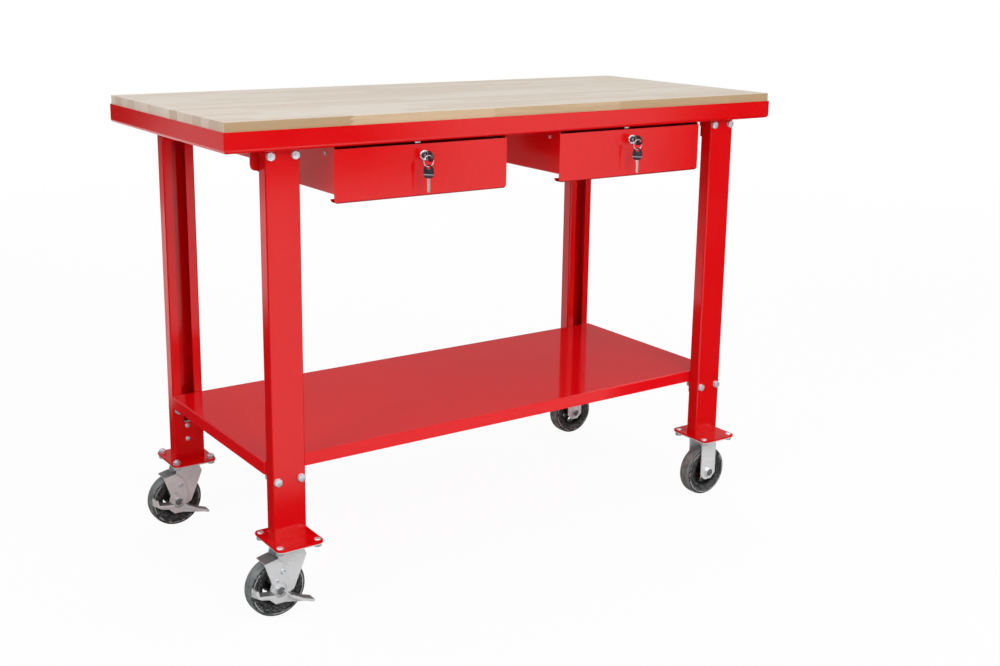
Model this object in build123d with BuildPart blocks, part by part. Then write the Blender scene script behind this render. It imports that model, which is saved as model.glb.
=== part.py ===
from build123d import *
from math import sqrt
import os

os.makedirs("parts", exist_ok=True)

# A mobile workbench in millimetres. X runs along the bench, -Y is its front and +Z is up.
# The origin is on the floor, below the middle of the worktop.

# ---- clearances ------------------------------------------------------------------------
bolt_gap = 0.3  # radial room round a bolt or screw in its hole
thread_gap = 0.05  # radial room of a nut on its bolt
fit_gap = 0.05  # radial running clearance of shafts and plugs
running_gap = 0.3  # room between faces that turn past each other
case_gap = 0.5  # room between a drawer case and the rim around it

# ---- the whole bench, its worktop and its steel rim ------------------------------------
bench_length = 1500.0
bench_depth = 650.0
bench_height = 1075.0
worktop_thick = 40.0
worktop_above_rim = 20.0
worktop_corner = 3.0
worktop_edge = 1.5
rim_sheet = 2.0
rim_height = 43.0
rim_flange = 27.0
rim_bend = 8.0
rim_lip_bend = 3.0

worktop_bottom = bench_height - worktop_thick
rim_top = bench_height - worktop_above_rim
rim_bottom = rim_top - rim_height
rim_lip = bench_depth / 2 - rim_flange

# ---- legs ------------------------------------------------------------------------------
leg_width = 77.0
leg_depth = 34.0
leg_lip = 22.0
leg_sheet = 2.0
leg_bend = 4.0
leg_end_inset = 99.0

leg_outer = bench_length / 2 - leg_end_inset
leg_x = leg_outer - leg_width / 2
leg_back = rim_lip - leg_depth
leg_y = rim_lip - leg_depth / 2

# ---- bolts of the frame ----------------------------------------------------------------
bolt_radius = 5.0
bolt_flats = 16.0
bolt_head = 6.4
nut_height = 8.0
bolt_end = 3.0
leg_bolt_pitch = 55.0
top_bolt_drop = 13.0
shelf_bolt_drop = 9.5

# ---- brackets and cross rails under the worktop ----------------------------------------
bracket_sheet = 3.0
bracket_overhang = 17.0
bracket_height = 68.0
bracket_corner = 12.0
cross_rail_height = 42.0
cross_rail_sheet = 2.0
cross_rail_bend = 3.0
middle_rail_width = 60.0

bracket_back = leg_back - bracket_sheet
bracket_outer = leg_outer + bracket_overhang
bolt_length = rim_lip - bracket_back + nut_height + bolt_end
top_bolt_z = rim_bottom - top_bolt_drop

# ---- lower shelf and its brackets ------------------------------------------------------
shelf_top = 342.0
shelf_skirt = 29.0
shelf_sheet = 1.5
shelf_overhang = 4.0
shelf_corner = 3.5
shelf_bend = 3.0
shelf_hem = 12.0
shelf_bracket_side = 3.0
shelf_bracket_head = 29.0
shelf_bracket_neck = 17.0
shelf_bracket_neck_width = 22.0
shelf_bracket_foot = 51.0
shelf_bracket_foot_width = 54.0
shelf_bracket_corner = 14.0
clamp_size = 56.0
clamp_thick = 4.0
clamp_offset = 5.5
clamp_rise = 1.5
clamp_bolt_radius = 4.0
clamp_bolt_head_radius = 6.0
clamp_bolt_head = 3.5
clamp_bolt_pitch = 34.0
clamp_bolt_end = 2.0

shelf_bottom = shelf_top - shelf_skirt
shelf_bolt_z = shelf_bottom - shelf_bolt_drop
shelf_neck_top = shelf_bottom - shelf_bracket_head
shelf_foot_top = shelf_neck_top - shelf_bracket_neck
shelf_foot_bottom = shelf_foot_top - shelf_bracket_foot
clamp_x = -leg_x - clamp_offset
clamp_z = (shelf_foot_top + shelf_foot_bottom) / 2 + clamp_rise

# ---- casters and the plates that they hang on ------------------------------------------
wheel_radius = 66.0
wheel_width = 36.0
tyre_thick = 16.5
tyre_shoulder = 5.5
hub_rim_radius = 35.5
hub_rim_width = 29.0
hub_web = 13.0
hub_boss_radius = 14.5
hub_spokes = 5
hub_spoke_width = 10.0
hub_window_edge = 2.0
axle_radius = 6.0
axle_flats = 18.0
axle_head = 7.0
axle_nut = 9.0
axle_end = 1.5
fork_sheet = 3.0
fork_gap = 44.0
caster_height = 168.0
caster_plate_x = 106.0
caster_plate_y = 124.0
caster_plate_thick = 3.5
caster_plate_corner = 12.0
caster_trail = 36.0
foot_plate_margin = 2.0
foot_plate_thick = 4.0
foot_offset = 8.0
caster_bolt_x = 88.0
caster_bolt_y = 96.0
caster_bolt_radius = 5.0
caster_bolt_flats = 16.0
caster_bolt_head = 6.4
caster_bolt_end = 0.5
caster_button_radius = 7.5
caster_button = 3.0
caster_nut = 8.0
caster_thread = 3.0
swivel_race_radius = 28.0
swivel_cup_wall = 3.6
swivel_cup_lip = 1.5
swivel_race = 8.0
swivel_cup_floor = 5.7
kingpin_radius = 6.0
kingpin_head_radius = 9.5
kingpin_head = 3.5
rigid_fork_width = 50.0
rigid_fork_end = 20.0
rigid_fork_chamfer = 14.0
fork_boss_radius = 22.0
crown_rear = 2.0
crown_front = 58.0
cheek_nose = 65.0
cheek_nose_drop = 17.0
cheek_heel = 34.5
cheek_heel_drop = 5.0

foot_top = caster_height + foot_plate_thick
foot_y = leg_y + foot_offset
caster_plate_z = caster_height - caster_plate_thick
axle_z = wheel_radius
hub_outer = wheel_radius - tyre_thick
fork_outer = fork_gap / 2 + fork_sheet
crown_top = caster_plate_z - swivel_race - running_gap - swivel_cup_floor
crown_rise = crown_top - axle_z

# ---- brake levers, measured from the axle ----------------------------------------------
brake_sheet = 3.0
brake_pivot = (7.0, 41.5)
brake_pivot_radius = 4.0
brake_eye = 16.5
brake_shoe_width = 46.0
brake_shoe = [(-33.0, 64.5), (-6.0, 70.5)]
brake_blade = [
    (-34.5, 64.0), (-33.0, 67.5), (-6.0, 73.0), (16.0, 54.0), (24.0, 14.0), (22.0, -33.0),
]
brake_blade += [(11.0, -30.0), (-11.0, -30.0), (-24.0, -18.0), (-24.0, -1.0), (-16.0, 15.0), (-20.0, 21.0)]
brake_tread = 20.0
brake_tread_bend = 5.0
brake_left_web = [
    (-20.0, 0.0), (-58.0, 7.0), (-59.0, 19.0), (-66.0, 19.0), (-66.0, 2.0), (-44.0, -12.0),
    (-20.0, -18.0),
]
brake_left_tread = [(-22.0, -1.0), (-59.0, 5.0), (-62.0, 19.0)]
brake_right_web = [
    (15.0, -7.0), (45.0, -24.0), (69.0, -32.0), (80.0, -45.0), (45.0, -38.0), (15.0, -31.0),
]
brake_right_tread = [(20.0, -11.5), (45.0, -25.5), (69.0, -34.0)]

# ---- drawers ---------------------------------------------------------------------------
drawer_offset = 5.0
drawer_width = 434.0
drawer_height = 113.0
drawer_below_rim = 5.0
drawer_face = 322.0
drawer_sheet = 1.5
drawer_corner = 9.0
drawer_bend = 3.0
drawer_pull = 19.0
drawer_pull_hem = 8.0
case_side_inset = 1.0
case_sheet = 1.5
case_bend = 2.5
case_hem = 8.0
case_rise = 19.0
case_rear = 55.0
tray_sheet = 1.2
tray_rise = 24.0
tray_below_rim = 8.0
tray_rear = 32.0

drawer_centre = (leg_outer - leg_width) / 2 + drawer_offset
drawer_top = rim_bottom - drawer_below_rim
drawer_bottom = drawer_top - drawer_height
drawer_back = drawer_face - drawer_sheet
case_width = drawer_width - 2 * case_side_inset
case_bottom = drawer_bottom + case_rise
case_front = drawer_back - case_gap
case_inner = case_width / 2 - case_sheet
tray_bottom = drawer_bottom + tray_rise
tray_top = rim_bottom - tray_below_rim

# ---- telescopic drawer slides ----------------------------------------------------------
slide_thick = 12.7
slide_height = 34.0
slide_sheet = 1.2
slide_gap = 0.4
slide_bend = 1.3
slide_flange = 9.0
slide_middle_flange = 10.3
slide_below_rim = 24.0
slide_setback = 4.5
slide_length = 350.0
case_screw_radius = 2.0
case_screw_head_radius = 4.0
case_screw_head = 1.8
case_screw_drop = 16.0
case_screw_y = (-283.0, -20.0)

slide_z = rim_bottom - slide_below_rim
slide_front = case_front - slide_setback
case_screw_z = rim_bottom - case_screw_drop
tray_half = case_inner - slide_thick

# ---- screws that hold the worktop ------------------------------------------------------
wood_screw_radius = 2.25
wood_screw_length = 26.0
wood_screw_head_radius = 4.5
wood_screw_head = 2.4
rail_screw_y = 200.0
case_screw_spread = 150.0
case_top_screw_y = (-240.0, 20.0)

rail_screws = [
    (x, y)
    for x in (-(leg_outer + bracket_overhang / 2), 0, leg_outer + bracket_overhang / 2)
    for y in (-rail_screw_y, 0, rail_screw_y)
]
case_top_screws = [
    (side * drawer_centre + spread, y)
    for side in (-1, 1)
    for spread in (-case_screw_spread, case_screw_spread)
    for y in case_top_screw_y
]

# ---- locks and keys --------------------------------------------------------------------
lock_drop = 30.0
lock_bezel_radius = 11.0
lock_bezel = 2.0
lock_body_radius = 9.5
lock_length = 24.0
lock_plug_radius = 7.0
lock_plug_proud = 0.6
lock_plug_end = 2.7
lock_nut_flats = 24.0
lock_nut = 4.0
cam_thick = 2.0
cam_hub_radius = 8.0
cam_tip_radius = 6.0
cam_reach = 38.0
cam_bore = 4.0
cam_rivet_radius = 5.2
cam_rivet = 1.5
key_blade_thick = 2.0
key_blade_width = 8.0
key_blade_length = 32.0
key_blade_out = 9.0
key_slot_gap = 0.1
key_head_thick = 2.6
key_shoulder = 7.5
key_shoulder_radius = 5.0
key_bow_radius = 11.0
key_bow = 12.0
key_root = 1.0
key_hole_radius = 4.0
key_hole_edge = 5.2
ring_radius = 12.0
ring_wire = 0.8
ring_hang = 1.2

lock_z = rim_bottom - lock_drop
lock_back = drawer_face - lock_length
plug_back = lock_back - lock_plug_end
key_head_start = drawer_face + key_blade_out
key_hole_y = key_head_start + key_shoulder_radius + key_bow + key_bow_radius - key_hole_edge
ring_centre_offset = ring_radius * sqrt(0.5)


def save(piece, name):
    """Labels one finished piece and writes its STEP file."""
    piece.label = name
    export_step(piece, f"parts/{name}.step")


def front_plane(x, y, z=0.0):
    """An upright plane facing the front of the bench, with its origin at x, y, z."""
    return Plane(origin=(x, y, z), x_dir=(1, 0, 0), z_dir=(0, -1, 0))


def folded_sheet(plane, points, radius, sheet, side=Side.LEFT):
    """The section of a folded sheet, drawn along its outer faces."""
    with BuildSketch(plane) as section:
        with BuildLine():
            FilletPolyline(*points, radius=radius)
            offset(amount=sheet, side=side)
        make_face()
    return section.sketch


def discs(plane, radius, spots=((0, 0),)):
    """Round outlines of one radius at the given spots of a plane."""
    with BuildSketch(plane) as drawn:
        with Locations(*spots):
            Circle(radius)
    return drawn.sketch


def hexagons(plane, flats, spots=((0, 0),)):
    """Hexagons of one width across flats at the given spots of a plane."""
    with BuildSketch(plane) as drawn:
        with Locations(*spots):
            RegularPolygon(flats / 2, 6, major_radius=False)
    return drawn.sketch


# ---- worktop ---------------------------------------------------------------------------
with BuildPart() as worktop:
    with BuildSketch(Plane.XY.offset(worktop_bottom)):
        RectangleRounded(bench_length - 2 * rim_sheet, bench_depth - 2 * rim_sheet, worktop_corner)
    extrude(amount=worktop_thick)
    fillet(worktop.faces().sort_by(Axis.Z)[-1].edges(), worktop_edge)
    extrude(
        discs(
            Plane.XY.offset(worktop_bottom),
            wood_screw_radius + thread_gap,
            rail_screws + case_top_screws,
        ),
        amount=wood_screw_length,
        mode=Mode.SUBTRACT,
    )
save(worktop.part, "worktop")


# ---- rim: four mitred rails around the worktop -------------------------------------------
def rim_rail(length, depth):
    """The front rail of a rim of this length and depth, mitred at both ends."""
    outer = -depth / 2
    inner = outer + rim_flange
    mitre = Plane(origin=(length / 2, outer, 0), z_dir=(1, 1, 0))
    corners = [(outer, rim_top), (outer, rim_bottom), (inner, rim_bottom), (inner, worktop_bottom)]
    with BuildPart() as rail:
        extrude(
            folded_sheet(Plane.YZ, corners, [rim_bend, rim_lip_bend], rim_sheet),
            amount=length / 2,
        )
        split(bisect_by=mitre, keep=Keep.BOTTOM)
        mirror(about=Plane.YZ)
    return rail.part


save(rim_rail(bench_length, bench_depth), "rim_front")
save(rim_rail(bench_length, bench_depth).rotate(Axis.Z, 180), "rim_rear")

with BuildPart() as rim_ends:
    add(rim_rail(bench_depth, bench_length), rotation=(0, 0, 90))
    add(rim_rail(bench_depth, bench_length), rotation=(0, 0, -90))
save(rim_ends.part, "rim_ends")

# ---- cross rails under the worktop -------------------------------------------------------
with BuildPart() as top_cross_rails:
    channel = [
        (-leg_outer, worktop_bottom),
        (-bracket_outer, worktop_bottom),
        (-bracket_outer, worktop_bottom - cross_rail_height),
        (-leg_outer, worktop_bottom - cross_rail_height),
    ]
    extrude(
        folded_sheet(Plane.XZ, channel, cross_rail_bend, cross_rail_sheet),
        amount=bracket_back,
        both=True,
    )
    mirror(about=Plane.YZ)
    hat = [
        (-middle_rail_width / 2, rim_bottom),
        (-middle_rail_width / 2, worktop_bottom),
        (middle_rail_width / 2, worktop_bottom),
        (middle_rail_width / 2, rim_bottom),
    ]
    extrude(
        folded_sheet(Plane.XZ, hat, cross_rail_bend, cross_rail_sheet, Side.RIGHT),
        amount=rim_lip,
        both=True,
    )
    extrude(
        discs(Plane.XY.offset(worktop_bottom), wood_screw_radius + bolt_gap, rail_screws),
        amount=-cross_rail_sheet,
        mode=Mode.SUBTRACT,
    )
save(top_cross_rails.part, "top_cross_rails")

# ---- legs: folded channels, open towards the other side of the bench -----------------------
# A strip welded between the lips closes each leg's foot, below the shelf's bracket.
leg_bolt_spots = [
    (-leg_x + side * leg_bolt_pitch / 2, z) for side in (-1, 1) for z in (top_bolt_z, shelf_bolt_z)
]


def leg(x, y):
    """One leg, standing on its foot plate at x, y."""
    facing = 1 if y < 0 else -1
    half_width = leg_width / 2
    half_depth = leg_depth / 2
    section = Plane(origin=(x, y, foot_top), x_dir=(facing, 0, 0), z_dir=(0, 0, 1))
    corners = [
        (leg_lip - half_width, half_depth),
        (-half_width, half_depth),
        (-half_width, -half_depth),
        (half_width, -half_depth),
        (half_width, half_depth),
        (half_width - leg_lip, half_depth),
    ]
    bolts = [(side * leg_bolt_pitch / 2, z) for side in (-1, 1) for z in (top_bolt_z, shelf_bolt_z)]
    with BuildPart() as made:
        extrude(
            folded_sheet(section, corners, leg_bend, leg_sheet),
            amount=worktop_bottom - foot_top,
        )
        with BuildSketch(section):
            with Locations((0, half_depth)):
                Rectangle(leg_width - 2 * leg_lip, leg_sheet, align=(Align.CENTER, Align.MAX))
        extrude(amount=shelf_foot_bottom - foot_top)
        extrude(
            discs(front_plane(x, y), bolt_radius + bolt_gap, bolts),
            amount=leg_depth,
            both=True,
            mode=Mode.SUBTRACT,
        )
    return made.part


for across, y in (("front", -leg_y), ("rear", leg_y)):
    for along, x in (("left", -leg_x), ("right", leg_x)):
        save(leg(x, y), f"leg_{across}_{along}")

# ---- brackets that join the legs to the cross rails, with a longer ear at the front --------
with BuildPart() as top_brackets:
    for side, ear in ((1, bracket_height), (-1, cross_rail_height)):
        plane = Plane.XZ.offset(side * bracket_back)
        with BuildSketch(plane) as plate:
            with Locations((-bracket_outer, worktop_bottom)):
                Rectangle(leg_width + bracket_overhang, ear, align=(Align.MIN, Align.MAX))
            with Locations((-leg_outer, worktop_bottom)):
                Rectangle(leg_width, bracket_height, align=(Align.MIN, Align.MAX))
            fillet(plate.vertices().group_by(Axis.X)[0].sort_by(Axis.Y)[0], bracket_corner)
        extrude(amount=side * bracket_sheet)
        extrude(
            discs(plane, bolt_radius + bolt_gap, leg_bolt_spots),
            amount=side * bracket_sheet,
            mode=Mode.SUBTRACT,
        )
    mirror(about=Plane.YZ)
save(top_brackets.part, "top_brackets")

# ---- lower shelf: one folded tray, open below --------------------------------------------
shelf_half_length = leg_outer + shelf_overhang

with BuildPart() as lower_shelf:
    with BuildSketch(Plane.XY.offset(shelf_bottom)):
        RectangleRounded(2 * shelf_half_length, 2 * leg_back, shelf_corner)
    extrude(amount=shelf_skirt)
    fillet(lower_shelf.faces().sort_by(Axis.Z)[-1].edges(), shelf_bend)
    offset(amount=-shelf_sheet, openings=lower_shelf.faces().sort_by(Axis.Z)[0])
    with BuildSketch(Plane.XY.offset(shelf_bottom)):
        RectangleRounded(2 * shelf_half_length, 2 * leg_back, shelf_corner)
        Rectangle(
            2 * (shelf_half_length - shelf_hem), 2 * (leg_back - shelf_hem), mode=Mode.SUBTRACT
        )
    extrude(amount=shelf_sheet)
save(lower_shelf.part, "lower_shelf")

# ---- brackets that clamp to the legs and carry the shelf ---------------------------------
bracket_edge = -(leg_outer - shelf_bracket_side)
clamp_spots = [(clamp_x, clamp_z + side * clamp_bolt_pitch / 2) for side in (-1, 1)]

with BuildPart() as shelf_brackets:
    head_side = -(leg_outer - leg_width + shelf_bracket_side)
    foot_side = bracket_edge + shelf_bracket_foot_width
    with BuildSketch(Plane.XZ.offset(bracket_back)) as plate:
        with BuildLine():
            Polyline(
                (bracket_edge, shelf_bottom),
                (head_side, shelf_bottom),
                (head_side, shelf_neck_top),
                (bracket_edge + shelf_bracket_neck_width, shelf_neck_top),
                (bracket_edge + shelf_bracket_neck_width, shelf_foot_top),
                (foot_side, shelf_foot_top),
                (foot_side, shelf_foot_bottom),
                (bracket_edge, shelf_foot_bottom),
                close=True,
            )
        make_face()
        low_corner = plate.vertices().group_by(Axis.Y)[0].sort_by(Axis.X)[-1]
        fillet(low_corner, shelf_bracket_corner)
    extrude(amount=bracket_sheet)
    extrude(
        discs(Plane.XZ.offset(bracket_back), bolt_radius + bolt_gap, leg_bolt_spots)
        + discs(Plane.XZ.offset(bracket_back), clamp_bolt_radius + bolt_gap, clamp_spots),
        amount=bracket_sheet,
        mode=Mode.SUBTRACT,
    )
    mirror(about=Plane.XZ)
    mirror(about=Plane.YZ)
save(shelf_brackets.part, "shelf_brackets")

with BuildPart() as clamp_plates:
    with BuildSketch(Plane.XZ.offset(leg_back + leg_sheet)):
        with Locations((clamp_x, clamp_z)):
            Rectangle(clamp_size, clamp_size)
        with Locations(*clamp_spots):
            Circle(clamp_bolt_radius + thread_gap, mode=Mode.SUBTRACT)
    extrude(amount=clamp_thick)
    mirror(about=Plane.XZ)
    mirror(about=Plane.YZ)
save(clamp_plates.part, "clamp_plates")

# ---- bolts and nuts of the frame ---------------------------------------------------------
with BuildPart() as frame_bolts:
    extrude(hexagons(Plane.XZ.offset(rim_lip), bolt_flats, leg_bolt_spots), amount=bolt_head)
    extrude(discs(Plane.XZ.offset(rim_lip), bolt_radius, leg_bolt_spots), amount=-bolt_length)
    extrude(
        discs(Plane.XZ.offset(bracket_back), clamp_bolt_head_radius, clamp_spots),
        amount=-clamp_bolt_head,
    )
    extrude(
        discs(Plane.XZ.offset(bracket_back), clamp_bolt_radius, clamp_spots),
        amount=bracket_sheet + leg_sheet + clamp_thick + clamp_bolt_end,
    )
    mirror(about=Plane.XZ)
    mirror(about=Plane.YZ)
save(frame_bolts.part, "frame_bolts")

with BuildPart() as frame_nuts:
    extrude(hexagons(Plane.XZ.offset(bracket_back), bolt_flats, leg_bolt_spots), amount=-nut_height)
    extrude(
        discs(Plane.XZ.offset(bracket_back), bolt_radius + thread_gap, leg_bolt_spots),
        amount=-nut_height,
        mode=Mode.SUBTRACT,
    )
    mirror(about=Plane.XZ)
    mirror(about=Plane.YZ)
save(frame_nuts.part, "frame_nuts")

# ---- screws that hold the worktop down ---------------------------------------------------
with BuildPart() as worktop_screws:
    for spots, sheet in ((rail_screws, cross_rail_sheet), (case_top_screws, case_sheet)):
        under = Plane.XY.offset(worktop_bottom - sheet)
        extrude(discs(under, wood_screw_head_radius, spots), amount=-wood_screw_head)
        extrude(discs(under, wood_screw_radius, spots), amount=wood_screw_length)
save(worktop_screws.part, "worktop_screws")

# ---- foot plates and the bolts of the casters --------------------------------------------
caster_spots = [
    (x * caster_bolt_x / 2, y * caster_bolt_y / 2) for x in (-1, 1) for y in (-1, 1)
]


def caster_spots_at(x, y):
    """Where the four bolts of the caster below the leg at x, y are."""
    return [(x + across, y + along) for across, along in caster_spots]


with BuildPart() as foot_plates:
    with BuildSketch(Plane.XY.offset(caster_height)):
        with Locations((-leg_x, -foot_y)):
            RectangleRounded(
                caster_plate_x + 2 * foot_plate_margin,
                caster_plate_y + 2 * foot_plate_margin,
                caster_plate_corner + foot_plate_margin,
            )
        with Locations(*caster_spots_at(-leg_x, -foot_y)):
            Circle(caster_bolt_radius + bolt_gap, mode=Mode.SUBTRACT)
    extrude(amount=foot_plate_thick)
    mirror(about=Plane.XZ)
    mirror(about=Plane.YZ)
save(foot_plates.part, "foot_plates")

# The front bolts have round heads on top, and the rear ones stand the other way up.
with BuildPart() as caster_bolts:
    front_spots = caster_spots_at(-leg_x, -foot_y)
    rear_spots = caster_spots_at(-leg_x, foot_y)
    stack = foot_plate_thick + caster_plate_thick
    extrude(
        discs(Plane.XY.offset(foot_top), caster_button_radius, front_spots), amount=caster_button
    )
    extrude(
        discs(Plane.XY.offset(foot_top), caster_bolt_radius, front_spots),
        amount=-(stack + caster_nut + caster_bolt_end),
    )
    extrude(
        hexagons(Plane.XY.offset(caster_plate_z), caster_bolt_flats, rear_spots),
        amount=-caster_bolt_head,
    )
    extrude(
        discs(Plane.XY.offset(caster_plate_z), caster_bolt_radius, rear_spots),
        amount=stack + caster_nut + caster_thread,
    )
    mirror(about=Plane.YZ)
save(caster_bolts.part, "caster_bolts")

with BuildPart() as caster_nuts:
    for plane, spots, rise in (
        (Plane.XY.offset(caster_plate_z), front_spots, -caster_nut),
        (Plane.XY.offset(foot_top), rear_spots, caster_nut),
    ):
        extrude(hexagons(plane, caster_bolt_flats, spots), amount=rise)
        extrude(
            discs(plane, caster_bolt_radius + thread_gap, spots), amount=rise, mode=Mode.SUBTRACT
        )
    mirror(about=Plane.YZ)
save(caster_nuts.part, "caster_nuts")


# ---- casters -----------------------------------------------------------------------------
def caster_plate(x, y):
    """The outline of a caster's top plate, with its bolt holes."""
    with BuildSketch(Plane.XY.offset(caster_plate_z)) as drawn:
        with Locations((x, y)):
            RectangleRounded(caster_plate_x, caster_plate_y, caster_plate_corner)
        with Locations(*caster_spots_at(x, y)):
            Circle(caster_bolt_radius + bolt_gap, mode=Mode.SUBTRACT)
    return drawn.sketch


with BuildPart() as swivel_plates:
    below = caster_plate_z - swivel_race
    crown_bottom = crown_top - fork_sheet
    pin_head_top = crown_bottom - running_gap
    centre = [(-leg_x, -foot_y)]
    extrude(caster_plate(-leg_x, -foot_y), amount=caster_plate_thick)
    extrude(
        discs(Plane.XY.offset(caster_plate_z), swivel_race_radius, centre), amount=-swivel_race
    )
    extrude(
        discs(Plane.XY.offset(below), kingpin_radius, centre),
        amount=pin_head_top - below,
    )
    extrude(
        discs(Plane.XY.offset(pin_head_top), kingpin_head_radius, centre), amount=-kingpin_head
    )
    mirror(about=Plane.XZ)
save(swivel_plates.part, "swivel_plates")


def swivel_cheek(plane):
    """The outline of one cheek of a swivel fork, from its crown to its axle."""
    with BuildSketch(plane) as cheek:
        Circle(fork_boss_radius)
        Polygon(
            (crown_rear, crown_rise),
            (crown_front, crown_rise),
            (cheek_nose, crown_rise - cheek_nose_drop),
            (cheek_heel, -cheek_heel_drop),
            align=None,
        )
        make_hull()
    return cheek.sketch


def rigid_cheek(plane):
    """The outline of one straight cheek of a rigid fork, tapered below its axle."""
    with BuildSketch(plane) as cheek:
        with Locations((0, -rigid_fork_end)):
            Rectangle(
                rigid_fork_width,
                caster_plate_z - axle_z + rigid_fork_end,
                align=(Align.CENTER, Align.MIN),
            )
        chamfer(cheek.vertices().group_by(Axis.Y)[0], rigid_fork_chamfer)
    return cheek.sketch


def swivel_fork(y):
    """The fork of a swivel caster: a crown with its bearing cup, and two cheeks."""
    pivot_x = -leg_x
    axle_x = pivot_x - caster_trail
    crown = Plane.XY.offset(crown_top)
    cup_radius = swivel_race_radius + running_gap + swivel_cup_wall
    with BuildPart() as fork:
        with BuildSketch(crown):
            with Locations((axle_x + (crown_rear + crown_front) / 2, y)):
                Rectangle(crown_front - crown_rear, 2 * fork_outer)
        extrude(amount=-fork_sheet)
        for side in (-1, 1):
            cheek = swivel_cheek(front_plane(axle_x, y + side * fork_gap / 2, axle_z))
            extrude(cheek, amount=-side * fork_sheet)
        extrude(
            discs(crown.offset(-fork_sheet), cup_radius, [(pivot_x, y)]),
            amount=fork_sheet + swivel_cup_floor + swivel_cup_lip,
        )
        extrude(
            discs(crown.offset(swivel_cup_floor), swivel_race_radius + running_gap, [(pivot_x, y)]),
            amount=swivel_cup_lip,
            mode=Mode.SUBTRACT,
        )
        extrude(
            discs(crown, kingpin_radius + running_gap, [(pivot_x, y)]),
            amount=swivel_cup_floor,
            both=True,
            mode=Mode.SUBTRACT,
        )
        extrude(
            discs(front_plane(axle_x, y, axle_z), axle_radius + bolt_gap),
            amount=2 * fork_outer,
            both=True,
            mode=Mode.SUBTRACT,
        )
        extrude(
            discs(front_plane(axle_x, y, axle_z), brake_pivot_radius + fit_gap, [brake_pivot]),
            amount=2 * fork_outer,
            mode=Mode.SUBTRACT,
        )
    return fork.part


def axle_bolt(x, y):
    """An axle bolt across a fork, with its nut behind."""
    front = y - fork_outer
    rear = y + fork_outer
    with BuildPart() as axle:
        extrude(hexagons(front_plane(x, front, axle_z), axle_flats), amount=axle_head)
        extrude(
            discs(front_plane(x, front, axle_z), axle_radius),
            amount=-(2 * fork_outer + axle_nut + axle_end),
        )
        with BuildSketch(front_plane(x, rear, axle_z)):
            RegularPolygon(axle_flats / 2, 6, major_radius=False)
            Circle(axle_radius + thread_gap, mode=Mode.SUBTRACT)
        extrude(amount=-axle_nut)
    return axle.part


def wheel_hub(x, y):
    """A spoked hub with its bearing tube through the middle."""
    middle = front_plane(x, y, axle_z)
    with BuildPart() as hub:
        extrude(discs(middle, hub_outer), amount=hub_rim_width / 2, both=True)
        extrude(
            discs(middle.offset(hub_web / 2), hub_rim_radius),
            amount=hub_rim_width,
            mode=Mode.SUBTRACT,
        )
        extrude(
            discs(middle.offset(-hub_web / 2), hub_rim_radius),
            amount=-hub_rim_width,
            mode=Mode.SUBTRACT,
        )
        with BuildSketch(middle):
            Circle(hub_rim_radius - hub_window_edge)
            Circle(hub_boss_radius + hub_window_edge, mode=Mode.SUBTRACT)
            with PolarLocations(0, hub_spokes, start_angle=90):
                Rectangle(
                    hub_rim_radius,
                    hub_spoke_width,
                    align=(Align.MIN, Align.CENTER),
                    mode=Mode.SUBTRACT,
                )
        extrude(amount=hub_web, both=True, mode=Mode.SUBTRACT)
        extrude(discs(middle, hub_boss_radius), amount=fork_gap / 2 - running_gap, both=True)
        extrude(
            discs(middle, axle_radius + fit_gap), amount=fork_gap, both=True, mode=Mode.SUBTRACT
        )
    return hub.part


def tyre(x, y):
    """A solid rubber tyre with rounded shoulders."""
    middle = front_plane(x, y, axle_z)
    with BuildPart() as made:
        extrude(discs(middle, wheel_radius), amount=wheel_width / 2, both=True)
        fillet(made.edges().filter_by(GeomType.CIRCLE), tyre_shoulder)
        extrude(
            discs(middle, hub_outer + fit_gap), amount=wheel_width, both=True, mode=Mode.SUBTRACT
        )
    return made.part


def brake(x, y):
    """A brake lever beside the fork: a shoe over the tyre and a pedal on either side."""
    inner = front_plane(x, y - fork_outer - running_gap, axle_z)
    with BuildPart() as lever:
        with BuildSketch(inner):
            for outline in (brake_blade, brake_left_web, brake_right_web):
                Polygon(*outline, align=None)
            Circle(brake_eye, mode=Mode.SUBTRACT)
        extrude(amount=brake_sheet)
        shoe = folded_strip(inner, brake_shoe, brake_sheet)
        extrude(shoe, amount=-(brake_shoe_width - brake_sheet))
        extrude(shoe, amount=brake_sheet)
        for tread in (brake_left_tread, brake_right_tread):
            extrude(
                folded_sheet(inner, tread, brake_tread_bend, brake_sheet, Side.BOTH),
                amount=brake_sheet + brake_tread,
            )
        extrude(discs(inner, brake_pivot_radius, [brake_pivot]), amount=-fork_sheet)
    return lever.part


def folded_strip(plane, points, sheet):
    """A straight strip of sheet, drawn along its middle."""
    with BuildSketch(plane) as section:
        with BuildLine():
            Polyline(*points)
        trace(line_width=sheet)
    return section.sketch


for across, y in (("front", -foot_y), ("rear", foot_y)):
    axle_x = -leg_x - caster_trail
    save(swivel_fork(y), f"swivel_fork_{across}_left")
    save(axle_bolt(axle_x, y), f"axle_{across}_left")
    save(brake(axle_x, y), f"brake_{across}_left")
    for along, x in (("left", axle_x), ("right", leg_x)):
        save(wheel_hub(x, y), f"wheel_hub_{across}_{along}")
        save(tyre(x, y), f"tyre_{across}_{along}")

with BuildPart() as rigid_forks:
    extrude(caster_plate(leg_x, -foot_y), amount=caster_plate_thick)
    for side in (-1, 1):
        cheek = rigid_cheek(front_plane(leg_x, -foot_y + side * fork_gap / 2, axle_z))
        extrude(cheek, amount=-side * fork_sheet)
    extrude(
        discs(front_plane(leg_x, -foot_y, axle_z), axle_radius + bolt_gap),
        amount=2 * fork_outer,
        both=True,
        mode=Mode.SUBTRACT,
    )
    mirror(about=Plane.XZ)
save(rigid_forks.part, "rigid_forks")

with BuildPart() as rigid_axles:
    add(axle_bolt(leg_x, -foot_y))
    add(axle_bolt(leg_x, foot_y))
save(rigid_axles.part, "rigid_axles")


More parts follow.
